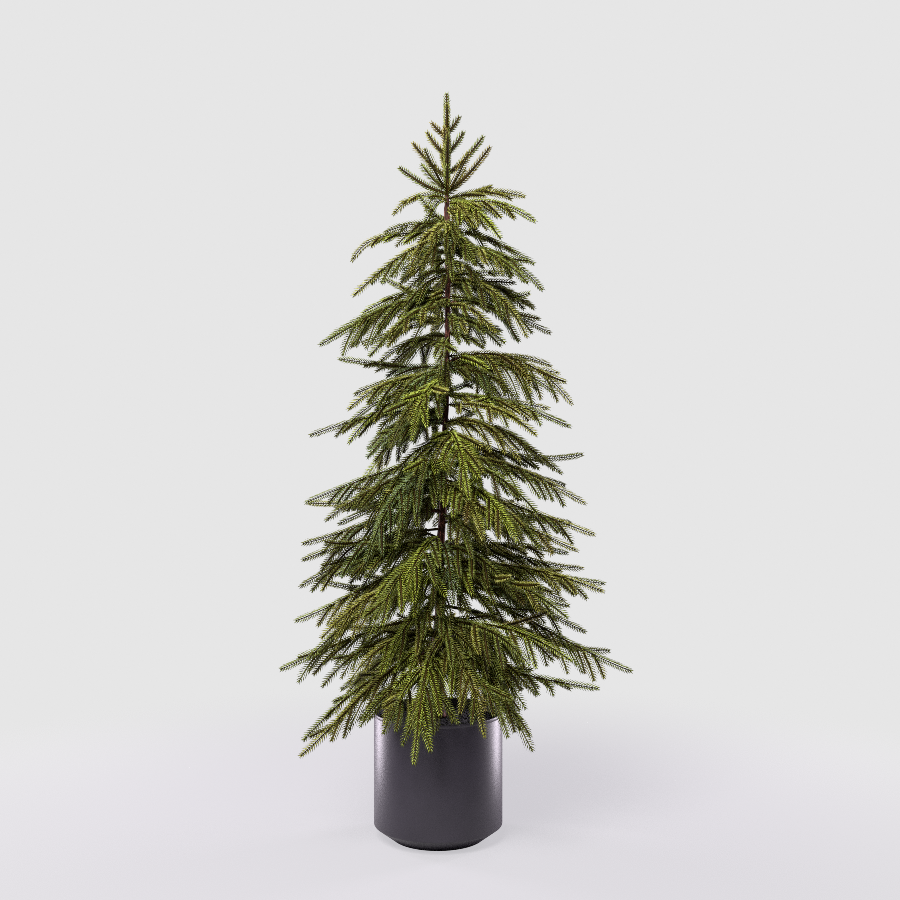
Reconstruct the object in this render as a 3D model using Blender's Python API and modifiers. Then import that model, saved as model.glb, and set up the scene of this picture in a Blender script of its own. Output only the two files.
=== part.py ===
"""Artificial Japanese cedar, 1.5 m tall, standing in a plain cylindrical pot.

Metres, +Z up.  The origin is the centre of the pot's flat underside.  The tree
faces -Y, and its longest low bough points to +X.
"""

import math
import random
from typing import NamedTuple

import bmesh
import bpy
from mathutils import Vector

GAP = 0.0003                # clearance between solids that rest on or pass through each other
WELD = 0.00001              # merge distance for caps and seams

# Pot: a straight cylinder on a chamfered foot, filled to just under its rim.
POT_RADIUS = 0.1296
POT_HEIGHT = 0.253
POT_WALL = 0.0035
LIP_ROUND = 0.0008
FOOT_RADIUS = 0.093
FOOT_HEIGHT = 0.028
FLOOR_THICKNESS = 0.004
TURNED_STEPS = 48

FILLING_TOP = 0.2415        # flat middle of the filling, where the trunk stands
FILLING_FLAT_RADIUS = 0.035
FILLING_EDGE_DROP = 0.005


class Ring(NamedTuple):
    """One height of the trunk: how far it leans to +X, and its radius."""
    height: float
    lean: float
    radius: float


TRUNK = (
    Ring(FILLING_TOP + GAP, 0.000, 0.0185),
    Ring(0.252, 0.000, 0.0150),
    Ring(0.275, 0.000, 0.0130),
    Ring(0.395, -0.001, 0.0110),
    Ring(0.470, 0.005, 0.0100),
    Ring(0.557, 0.002, 0.0087),
    Ring(0.650, 0.009, 0.0075),
    Ring(0.775, 0.012, 0.0060),
    Ring(0.870, 0.016, 0.0053),
    Ring(1.040, 0.019, 0.0048),
    Ring(1.160, 0.020, 0.0042),
    Ring(1.264, 0.018, 0.0036),
    Ring(1.380, 0.0175, 0.0026),
    Ring(1.494, 0.0170, 0.0014),
)

# Leader: the spire of upturned tips round the top of the trunk.
LEADER = (
    Ring(1.290, 0.018, 0.022),
    Ring(1.318, 0.020, 0.052),
    Ring(1.352, 0.021, 0.082),
    Ring(1.388, 0.027, 0.078),
    Ring(1.412, 0.026, 0.060),
    Ring(1.438, 0.019, 0.034),
    Ring(1.465, 0.018, 0.017),
    Ring(1.500, 0.017, 0.0045),
)


class Bough(NamedTuple):
    """A limb from the trunk's axis to the furthest tip of its mass of foliage."""
    name: str
    root: float             # height where it leaves the trunk
    azimuth: float          # degrees from +X towards +Y
    reach: float            # from the trunk's axis to the furthest tip, seen from above
    tip: float              # height of the furthest tip
    rise: float             # degrees above level at the root
    fall: float             # degrees above level at the tip, negative where it hangs
    width: float            # half width of its mass, seen from above
    depth: float            # full depth of its mass, top to hanging tips


BOUGHS = (
    Bough("right_1", 1.262, 345, 0.180, 1.232, 28, -38, 0.080, 0.075),
    Bough("right_2", 1.175, 338, 0.200, 1.092, 20, -50, 0.095, 0.105),
    Bough("right_3", 1.075, 8, 0.212, 1.018, 15, -25, 0.100, 0.110),
    Bough("right_4", 0.955, 352, 0.250, 0.872, 27, -56, 0.105, 0.110),
    Bough("right_5", 0.810, 8, 0.285, 0.770, -18, 12, 0.110, 0.120),
    Bough("right_6", 0.720, 350, 0.302, 0.612, -20, -20, 0.110, 0.130),
    Bough("right_7", 0.560, 2, 0.334, 0.508, -2, -6, 0.115, 0.115),
    Bough("right_8", 0.510, 352, 0.382, 0.342, -14, -20, 0.115, 0.120),
    Bough("left_1", 1.222, 178, 0.192, 1.165, -8, -62, 0.090, 0.090),
    Bough("left_2", 1.085, 196, 0.260, 0.985, 4, -30, 0.105, 0.110),
    Bough("left_3", 0.860, 185, 0.272, 0.808, 2, -20, 0.110, 0.120),
    Bough("left_4", 0.760, 188, 0.276, 0.675, -6, -22, 0.110, 0.110),
    Bough("left_5", 0.655, 180, 0.282, 0.590, 5, -12, 0.110, 0.100),
    Bough("left_6", 0.545, 184, 0.288, 0.437, 0, -18, 0.115, 0.110),
    Bough("left_7", 0.440, 189, 0.318, 0.345, -2, -22, 0.120, 0.120),
    Bough("front_1", 0.885, 240, 0.205, 0.785, 25, -55, 0.095, 0.100),
    Bough("front_2", 0.800, 282, 0.220, 0.690, 25, -58, 0.095, 0.100),
    Bough("front_3", 0.700, 303, 0.250, 0.612, 20, -50, 0.105, 0.100),
    Bough("front_4", 0.560, 240, 0.255, 0.435, 20, -52, 0.110, 0.105),
    Bough("front_5", 0.370, 213, 0.305, 0.205, 0, -32, 0.110, 0.085),
    Bough("front_6", 0.375, 262, 0.285, 0.222, 15, -55, 0.110, 0.095),
    Bough("front_7", 0.385, 312, 0.265, 0.222, 12, -50, 0.115, 0.100),
    Bough("back_1", 1.120, 100, 0.200, 1.030, 20, -45, 0.095, 0.110),
    Bough("back_2", 0.950, 58, 0.250, 0.850, 18, -45, 0.105, 0.110),
    Bough("back_3", 0.830, 130, 0.280, 0.715, 16, -40, 0.115, 0.115),
    Bough("back_4", 0.680, 75, 0.305, 0.555, 14, -40, 0.115, 0.115),
    Bough("back_5", 0.540, 128, 0.330, 0.410, 12, -35, 0.120, 0.115),
    Bough("back_6", 0.410, 72, 0.335, 0.280, 10, -35, 0.120, 0.110),
)

MASS_START = 0.20           # share of the limb that is bare
BOUGH_RADIUS_TO_TRUNK = 0.42
BOUGH_END_TAPER = 0.7
BOUGH_SPANS = 4

# Swelling of a mass along its limb, from where the limb enters to the furthest tip.
MASS_SWELL = (0.08, 0.72, 0.98, 1.0, 0.92, 0.73, 0.46, 0.11)
MASS_SIDES = 10
MASS_HANG = 0.38            # share of its depth by which a mass hangs below its limb
SIDE_DROOP = 0.45           # share of its depth by which a mass's sides hang lower
UNEVENNESS = 0.16
SCALLOP = 0.07
SEED = 21


def trunk_at(height):
    """The trunk's lean and radius at a height."""
    for low, high in zip(TRUNK, TRUNK[1:]):
        if height <= high.height:
            share = (height - low.height) / (high.height - low.height)
            break
    lean = low.lean + share * (high.lean - low.lean)
    radius = low.radius + share * (high.radius - low.radius)
    return lean, radius


def heading(bough):
    angle = math.radians(bough.azimuth)
    return Vector((math.cos(angle), math.sin(angle), 0))


def limb_point(bough, t):
    """A point of the limb's arch, from 0 on the trunk's axis to 1 at the furthest tip."""
    handle = 0.38 * math.hypot(bough.reach, bough.tip - bough.root)
    rise, fall = math.radians(bough.rise), math.radians(bough.fall)
    start = Vector((0, bough.root))
    end = Vector((bough.reach, bough.tip))
    start_handle = start + handle * Vector((math.cos(rise), math.sin(rise)))
    end_handle = end - handle * Vector((math.cos(fall), math.sin(fall)))
    s = 1 - t
    out, height = (s**3 * start + 3 * s * s * t * start_handle
                   + 3 * s * t * t * end_handle + t**3 * end)
    lean, _ = trunk_at(bough.root)
    return Vector((lean, 0, height)) + out * heading(bough)


def limb_tangent(bough, t):
    step = 0.01
    return (limb_point(bough, t + step) - limb_point(bough, t - step)).normalized()


# --- collections, materials and meshes

def new_collection(name):
    collection = bpy.data.collections.new(name)
    bpy.context.scene.collection.children.link(collection)
    return collection


def principled(name, colour, roughness):
    material = bpy.data.materials.new(name)
    material.use_nodes = True
    shader = material.node_tree.nodes["Principled BSDF"]
    shader.inputs["Base Color"].default_value = (*colour, 1)
    shader.inputs["Roughness"].default_value = roughness
    return material


def add_object(name, data, collection, material=None):
    obj = bpy.data.objects.new(name, data)
    collection.objects.link(obj)
    if material:
        data.materials.append(material)
    return obj


def evaluated_mesh(obj):
    depsgraph = bpy.context.evaluated_depsgraph_get()
    return bpy.data.meshes.new_from_object(obj.evaluated_get(depsgraph))


def turned(name, profile, collection, material):
    """A solid turned about Z: the profile runs down its outer side, in (radius, height)."""
    mesh = bpy.data.meshes.new(name)
    points = [(radius, 0, height) for radius, height in profile]
    edges = [(i, i + 1) for i in range(len(points) - 1)]
    mesh.from_pydata(points, edges, [])
    obj = add_object(name, mesh, collection, material)
    screw = obj.modifiers.new("Turn", "SCREW")
    screw.steps = screw.render_steps = TURNED_STEPS
    screw.use_merge_vertices = True
    screw.merge_threshold = WELD
    weld = obj.modifiers.new("Close the axis", "WELD")
    weld.merge_threshold = WELD
    return obj


def limb_mesh(name, points, radii, resolution):
    """A tapering round limb through the points, as one closed mesh."""
    curve = bpy.data.curves.new(name, "CURVE")
    curve.dimensions = "3D"
    curve.bevel_depth = 1
    curve.bevel_resolution = resolution
    curve.use_fill_caps = True
    spline = curve.splines.new("POLY")
    spline.points.add(len(points) - 1)
    for spline_point, point, radius in zip(spline.points, points, radii):
        spline_point.co = (*point, 1)
        spline_point.radius = radius
    guide = bpy.data.objects.new(name, curve)
    bpy.context.scene.collection.objects.link(guide)
    mesh = evaluated_mesh(guide)
    bpy.data.objects.remove(guide)
    soup = bmesh.new()
    soup.from_mesh(mesh)
    bmesh.ops.remove_doubles(soup, verts=soup.verts, dist=WELD)
    bmesh.ops.recalc_face_normals(soup, faces=soup.faces)
    soup.to_mesh(mesh)
    soup.free()
    return mesh


def loft(name, rings):
    """A closed solid through rings of equally many points, each ring flat."""
    soup = bmesh.new()
    rows = [[soup.verts.new(point) for point in ring] for ring in rings]
    for row, following in zip(rows, rows[1:]):
        for i, vert in enumerate(row):
            j = (i + 1) % len(row)
            soup.faces.new((vert, row[j], following[j], following[i]))
    soup.faces.new(rows[0])
    soup.faces.new(rows[-1])
    bmesh.ops.recalc_face_normals(soup, faces=soup.faces)
    bmesh.ops.triangulate(soup, faces=soup.faces)
    mesh = bpy.data.meshes.new(name)
    soup.to_mesh(mesh)
    soup.free()
    return mesh


def clearance_cutter(obj, collection):
    """The object's shape grown by the gap, to cut whatever passes it."""
    mesh = obj.data.copy()
    soup = bmesh.new()
    soup.from_mesh(mesh)
    grown = [v.co + v.normal * GAP * v.calc_shell_factor() for v in soup.verts]
    for vert, place in zip(soup.verts, grown):
        vert.co = place
    soup.to_mesh(mesh)
    soup.free()
    cutter = add_object(f"{obj.name}_clearance", mesh, collection)
    cutter.hide_render = True
    cutter.display_type = "WIRE"
    return cutter


def box_of(obj):
    corners = [vert.co for vert in obj.data.vertices]
    low = Vector(min(corner[axis] for corner in corners) for axis in range(3))
    high = Vector(max(corner[axis] for corner in corners) for axis in range(3))
    return low, high


def boxes_meet(one, other):
    (low, high), (other_low, other_high) = box_of(one), box_of(other)
    return all(low[i] < other_high[i] and other_low[i] < high[i] for i in range(3))


def keep_largest_body(mesh):
    """Drop the crumbs that a cut leaves beside the main body."""
    soup = bmesh.new()
    soup.from_mesh(mesh)
    bmesh.ops.remove_doubles(soup, verts=soup.verts, dist=WELD)
    bodies = []
    unseen = set(soup.faces)
    while unseen:
        body = []
        front = [unseen.pop()]
        while front:
            face = front.pop()
            body.append(face)
            for edge in face.edges:
                for neighbour in edge.link_faces:
                    if neighbour in unseen:
                        unseen.remove(neighbour)
                        front.append(neighbour)
        bodies.append(body)
    bodies.sort(key=lambda body: sum(face.calc_area() for face in body))
    crumbs = [face for body in bodies[:-1] for face in body]
    bmesh.ops.delete(soup, geom=crumbs, context="FACES")
    soup.to_mesh(mesh)
    soup.free()


def carve(obj, cutters):
    """Cut the object clear of every cutter that its box meets."""
    near = [cutter for cutter in cutters if boxes_meet(obj, cutter)]
    for cutter in near:
        boolean = obj.modifiers.new(cutter.name, "BOOLEAN")
        boolean.operation = "DIFFERENCE"
        boolean.solver = "EXACT"
        boolean.object = cutter
    mesh = evaluated_mesh(obj)
    obj.modifiers.clear()
    keep_largest_body(mesh)
    mesh.name = obj.name
    obj.data = mesh


# --- the sub-parts

def make_pot(collection):
    plastic = principled("pot_plastic", (0.052, 0.050, 0.058), 0.5)
    inner = POT_RADIUS - POT_WALL
    profile = (
        (0, FLOOR_THICKNESS),
        (FOOT_RADIUS - POT_WALL, FLOOR_THICKNESS),
        (inner, FOOT_HEIGHT + FLOOR_THICKNESS),
        (inner, POT_HEIGHT - LIP_ROUND),
        (inner + LIP_ROUND, POT_HEIGHT),
        (POT_RADIUS - LIP_ROUND, POT_HEIGHT),
        (POT_RADIUS, POT_HEIGHT - LIP_ROUND),
        (POT_RADIUS, FOOT_HEIGHT),
        (FOOT_RADIUS, 0),
        (0, 0),
    )
    return turned("pot", profile, collection, plastic)


def make_filling(collection):
    grit = principled("filling_grit", (0.030, 0.029, 0.032), 0.95)
    wall = POT_RADIUS - POT_WALL - GAP
    floor = FLOOR_THICKNESS + GAP
    profile = (
        (0, FILLING_TOP),
        (FILLING_FLAT_RADIUS, FILLING_TOP),
        (wall, FILLING_TOP - FILLING_EDGE_DROP),
        (wall, FOOT_HEIGHT + floor),
        (FOOT_RADIUS - POT_WALL - GAP, floor),
        (0, floor),
    )
    return turned("filling", profile, collection, grit)


def make_trunk(collection, bark):
    points = [(ring.lean, 0, ring.height) for ring in TRUNK]
    radii = [ring.radius for ring in TRUNK]
    return add_object("trunk", limb_mesh("trunk", points, radii, 3), collection, bark)


def make_bough(bough, collection, bark):
    _, trunk_radius = trunk_at(bough.root)
    root_radius = trunk_radius * BOUGH_RADIUS_TO_TRUNK
    shares = [i / BOUGH_SPANS for i in range(BOUGH_SPANS + 1)]
    points = [limb_point(bough, MASS_START * share) for share in shares]
    radii = [root_radius * (1 - share * (1 - BOUGH_END_TAPER)) for share in shares]
    name = f"bough_{bough.name}"
    return add_object(name, limb_mesh(name, points, radii, 1), collection, bark)


def mass_ring(bough, t, swell, tilt, rng):
    """One uneven section of a mass, in a plane that leans with the limb by tilt."""
    forward = heading(bough)
    side = Vector((-forward.y, forward.x, 0))
    tangent = limb_tangent(bough, t)
    normal = forward.lerp(tangent, tilt).normalized()
    up = normal.cross(side)
    hang = MASS_HANG * bough.depth * swell * (1 - tilt)
    centre = limb_point(bough, t) + normal * GAP - up * hang
    droop = SIDE_DROOP * (1 - tilt)
    ring = []
    for i in range(MASS_SIDES):
        angle = math.tau * i / MASS_SIDES
        size = swell * (1 + UNEVENNESS * rng.uniform(-1, 1))
        across = bough.width * size * math.cos(angle)
        upward = bough.depth / 2 * size * math.sin(angle)
        upward -= droop * bough.depth * swell * math.cos(angle)**2
        ring.append(centre + across * side + upward * up)
    return ring


def make_mass(bough, collection, foliage, rng):
    last = len(MASS_SWELL) - 1
    rings = []
    for i, swell in enumerate(MASS_SWELL):
        t = MASS_START + (1 - MASS_START) * i / last
        scallop = 1 + SCALLOP * (-1)**i
        tilt = 1 if i == 0 else 0
        rings.append(mass_ring(bough, t, swell * scallop, tilt, rng))
    name = f"mass_{bough.name}"
    return add_object(name, loft(name, rings), collection, foliage)


def make_leader(collection, foliage, rng):
    rings = []
    for level in LEADER:
        ring = []
        for i in range(MASS_SIDES):
            angle = math.tau * i / MASS_SIDES
            radius = level.radius * (1 + UNEVENNESS * rng.uniform(-1, 1))
            ring.append(Vector((level.lean + radius * math.cos(angle),
                                radius * math.sin(angle), level.height)))
        rings.append(ring)
    return add_object("mass_leader", loft("mass_leader", rings), collection, foliage)


def main():
    for obj in list(bpy.data.objects):
        bpy.data.objects.remove(obj)
    parts = new_collection("potted_cedar")
    cutters = new_collection("cutters")
    rng = random.Random(SEED)
    bark = principled("bark", (0.155, 0.085, 0.070), 0.85)
    foliage = principled("foliage", (0.060, 0.090, 0.018), 0.7)

    make_pot(parts)
    make_filling(parts)
    trunk = make_trunk(parts, bark)
    limb_clearances = [clearance_cutter(trunk, cutters)]
    for bough in BOUGHS:
        limb = make_bough(bough, parts, bark)
        carve(limb, limb_clearances[:1])
        limb_clearances.append(clearance_cutter(limb, cutters))

    masses = [make_leader(parts, foliage, rng)]
    masses += [make_mass(bough, parts, foliage, rng) for bough in BOUGHS]
    mass_clearances = [clearance_cutter(mass, cutters) for mass in masses]
    for i, mass in enumerate(masses):
        carve(mass, limb_clearances + mass_clearances[:i])


main()
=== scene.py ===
"""Looks of the artificial Japanese cedar in its pot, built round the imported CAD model.

Metres, +Z up, in the CAD model's frame: the origin is the centre of the pot's flat
underside, the tree faces -Y, and its longest low bough points to +X.

The boughs repeat the CAD model's limbs.  Every frond is a spine with side twigs, grown by
one seeded rule, and every spine and twig carries whorls of moulded needles.
"""

import math
import random
from typing import NamedTuple

import bpy
import numpy as np
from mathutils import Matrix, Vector, noise


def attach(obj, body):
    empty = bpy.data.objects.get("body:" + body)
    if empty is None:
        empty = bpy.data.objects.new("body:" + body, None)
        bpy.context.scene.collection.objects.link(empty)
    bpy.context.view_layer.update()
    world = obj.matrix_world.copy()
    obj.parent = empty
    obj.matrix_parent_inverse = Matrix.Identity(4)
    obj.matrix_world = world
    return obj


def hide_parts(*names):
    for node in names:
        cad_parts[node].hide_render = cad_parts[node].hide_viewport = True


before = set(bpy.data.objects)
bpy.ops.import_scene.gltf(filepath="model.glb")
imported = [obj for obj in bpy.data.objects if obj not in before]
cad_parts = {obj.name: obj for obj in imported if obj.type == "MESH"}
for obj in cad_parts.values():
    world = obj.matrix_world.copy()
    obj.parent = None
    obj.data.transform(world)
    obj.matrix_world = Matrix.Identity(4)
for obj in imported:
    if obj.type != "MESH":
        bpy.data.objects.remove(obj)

SEED = 41
UP = np.array((0.0, 0.0, 1.0))
ACROSS = np.array((1.0, 0.0, 0.0))
NEARLY_UPRIGHT = 0.2  # sine of a line's angle to UP, below which ACROSS is its side
SMALLEST = 1e-12  # least length to divide by
TANGENT_STEP = 0.01  # shares of a curve

# --- pot and filling: the first nine as in the CAD model

POT_RADIUS = 0.1296
POT_HEIGHT = 0.253
POT_WALL = 0.0035
FOOT_RADIUS = 0.093
FOOT_HEIGHT = 0.028
FLOOR_THICKNESS = 0.004
FILLING_TOP = 0.2415
FILLING_EDGE_DROP = 0.005
FILLING_FLAT_RADIUS = 0.035

POT_SIDES = 128
LIP_STEPS = 9
EDGE_STEPS = 5
GROOVE_DROPS = (0.006, 0.0068, 0.0076)  # below the rim: a fine groove's top, middle, bottom
GROOVE_DEPTH = 0.0004
SHOULDER_ROUND = 0.003  # radius of the edge between the wall and the chamfer
SHOULDER_LIFT = 0.0016  # of that edge's centre above FOOT_HEIGHT
CHAMFER_FACING = -37  # degrees above level
FOOT_ROUND = 0.004  # radius of the edge between the chamfer and the underside
FOOT_INSET = 0.002  # of that edge's centre within FOOT_RADIUS

BED_SIDES = 96
BED_GAP = 0.0004  # to the pot's wall
BED_SINK = 0.003  # below the CAD filling's top, for the grains
BED_BOTTOM = 0.03  # also below it
GRAINS = 2600
GRAIN_REACH = 0.985  # of the way to the wall
GRAIN_SIZES = (0.0016, 0.0034)
GRAIN_LIFTS = (-0.3, 0.5)  # above the bed, in sizes
GRAIN_CORNERS = (0.6, 1.1)  # from its middle, in sizes
GRAIN_LEAN = 0.6
OCTAHEDRON = ((1, 0, 0), (-1, 0, 0), (0, 1, 0), (0, -1, 0), (0, 0, 1), (0, 0, -1))
OCTAHEDRON_FACES = ((4, 0, 2), (4, 2, 1), (4, 1, 3), (4, 3, 0),
                    (5, 2, 0), (5, 1, 2), (5, 3, 1), (5, 0, 3))

# --- trunk and limbs, as in the CAD model


class Ring(NamedTuple):
    """One height of the trunk: how far it leans to +X, and its radius."""
    height: float
    lean: float
    radius: float


TRUNK = tuple(Ring(*row) for row in (
    (0.2418, 0.0, 0.0185),
    (0.252, 0.0, 0.015),
    (0.275, 0.0, 0.013),
    (0.395, -0.001, 0.011),
    (0.47, 0.005, 0.01),
    (0.557, 0.002, 0.0087),
    (0.65, 0.009, 0.0075),
    (0.775, 0.012, 0.006),
    (0.87, 0.016, 0.0053),
    (1.04, 0.019, 0.0048),
    (1.16, 0.02, 0.0042),
    (1.264, 0.018, 0.0036),
    (1.38, 0.0175, 0.0026),
    (1.494, 0.017, 0.0014),
))


class Limb(NamedTuple):
    """A bough from the trunk's axis to its furthest tip, with the tone of its needles."""
    name: str
    root: float  # height where it leaves the trunk
    azimuth: float  # degrees from +X towards +Y
    reach: float  # from the trunk's axis to the furthest tip, seen from above
    tip: float  # height of the furthest tip
    rise: float  # degrees above level at the root
    fall: float  # degrees above level at the tip, negative where it hangs
    tone: str
    size: float = 1.0  # of its side twigs
    hang: float = 1.0  # how much they droop


LIMBS = tuple(Limb(*row) for row in (
    ("right_1", 1.262, 345, 0.18, 1.232, 28, -38, "olive", 0.65),
    ("right_2", 1.175, 338, 0.2, 1.092, 20, -50, "mid", 0.65),
    ("right_3", 1.075, 8, 0.212, 1.018, 15, -25, "dark", 0.9, 1.1),
    ("right_4", 0.955, 352, 0.25, 0.872, 27, -56, "olive", 0.9, 1.8),
    ("right_5", 0.81, 8, 0.285, 0.77, -18, 12, "dark", 0.55),
    ("right_6", 0.72, 350, 0.302, 0.612, -20, -20, "mid", 0.9, 1.3),
    ("right_7", 0.56, 2, 0.334, 0.508, -2, -6, "olive", 0.9, 1.4),
    ("right_8", 0.51, 352, 0.382, 0.342, -14, -20, "olive", 0.9, 1.8),
    ("left_1", 1.222, 178, 0.192, 1.165, -8, -62, "olive", 0.4),
    ("left_2", 1.085, 196, 0.26, 0.985, 4, -30, "mid", 1.0, 1.5),
    ("left_3", 0.86, 185, 0.272, 0.808, 2, -20, "dark", 0.65),
    ("left_4", 0.76, 188, 0.276, 0.675, -6, -22, "bluish", 0.75),
    ("left_5", 0.655, 180, 0.282, 0.59, 5, -12, "dark", 1.0, 1.3),
    ("left_6", 0.545, 184, 0.288, 0.437, 0, -18, "olive", 0.8),
    ("left_7", 0.44, 189, 0.318, 0.345, -2, -22, "mid"),
    ("front_1", 0.885, 240, 0.205, 0.785, 25, -55, "mid", 0.8),
    ("front_2", 0.8, 282, 0.22, 0.69, 25, -58, "bright", 0.8),
    ("front_3", 0.7, 303, 0.25, 0.612, 20, -50, "bright", 0.9),
    ("front_4", 0.56, 240, 0.255, 0.435, 20, -52, "bright", 0.9),
    ("front_5", 0.37, 213, 0.305, 0.205, 0, -32, "mid", 0.8),
    ("front_6", 0.375, 262, 0.285, 0.222, 15, -55, "bright"),
    ("front_7", 0.385, 312, 0.265, 0.222, 12, -50, "mid", 0.9),
    ("back_1", 1.12, 100, 0.2, 1.03, 20, -45, "mid", 0.8),
    ("back_2", 0.95, 58, 0.25, 0.85, 18, -45, "mid", 0.6),
    ("back_3", 0.83, 130, 0.28, 0.715, 16, -40, "olive", 0.7),
    ("back_4", 0.68, 75, 0.305, 0.555, 14, -40, "mid"),
    ("back_5", 0.54, 128, 0.33, 0.41, 12, -35, "mid"),
    ("back_6", 0.41, 72, 0.335, 0.28, 10, -35, "olive"),
))


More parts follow.
